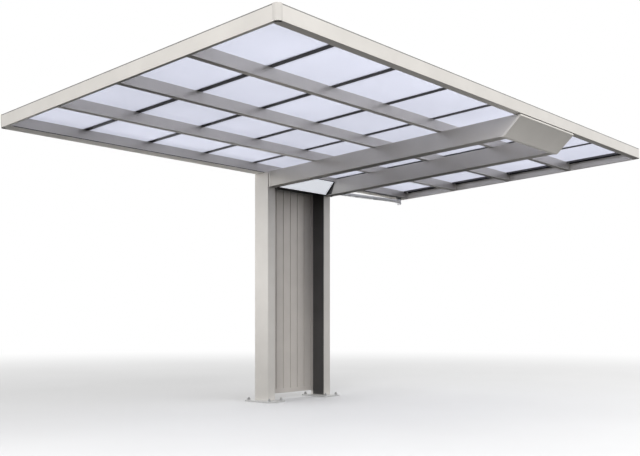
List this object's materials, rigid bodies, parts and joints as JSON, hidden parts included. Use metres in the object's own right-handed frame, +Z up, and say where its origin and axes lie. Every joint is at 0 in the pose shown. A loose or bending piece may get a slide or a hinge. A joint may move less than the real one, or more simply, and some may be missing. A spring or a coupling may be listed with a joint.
{
  "type": "cantilever carport",
  "caption": "Cantilever carport: a glazed metal roof frame on two arms that reach out from a pair of posts with a boarded panel between them.",
  "frame": {"origin": "on the ground, at the centre of the underside of the left post's foot plate", "axes": "+X along the roof's length, from the near end to the drained end; +Y from the open front to the posts; +Z up"},
  "size_m": [4.954, 2.8544, 2.3939],
  "materials": {
    "frame": "satin powder coat",
    "corner": "satin powder coat",
    "post": "satin powder coat",
    "arm": "satin powder coat",
    "cover": "satin powder coat",
    "infill": "satin powder coat",
    "foot_plate": "galvanised and coated",
    "glazing_bar": "dark matt coat",
    "roof_sheet": "translucent opal",
    "light_panel": "opal white",
    "bracket": "dark coat",
    "drain": "smooth pale grey"
  },
  "bodies": {
    "root": {"arm_flange_left": "arm", "arm_flange_right": "arm", "arm_left": "arm", "arm_right": "arm", "arm_tip_cover": "cover", "back_panel": "infill", "corner_front_left": "corner", "corner_front_right": "corner", "corner_rear_left": "corner", "corner_rear_right": "corner", "drain_pipe": "drain", "drain_tee": "drain", "edge_bar_left": "glazing_bar", "edge_bar_right": "glazing_bar", "foot_plate_left": "foot_plate", "foot_plate_right": "foot_plate", "front_beam": "frame", "glazing_bar_1": "glazing_bar", "glazing_bar_2": "glazing_bar", "glazing_bar_3": "glazing_bar", "glazing_bar_4": "glazing_bar", "glazing_bar_5": "glazing_bar", "glazing_bar_6": "glazing_bar", "glazing_bar_7": "glazing_bar", "gutter": "frame", "left_beam": "frame", "light_panel": "light_panel", "light_panel_brackets": "bracket", "panel_bottom_rail": "infill", "panel_top_rail": "infill", "post_left": "post", "post_liner_left": "bracket", "post_liner_right": "bracket", "post_right": "post", "purlin_front": "frame", "purlin_middle": "frame", "purlin_rear": "frame", "rear_beam": "frame", "right_beam": "frame", "roof_sheet_1": "roof_sheet", "roof_sheet_2": "roof_sheet", "roof_sheet_3": "roof_sheet", "roof_sheet_4": "roof_sheet", "roof_sheet_5": "roof_sheet", "roof_sheet_6": "roof_sheet", "roof_sheet_7": "roof_sheet", "roof_sheet_8": "roof_sheet"}
  },
  "joints": []
}
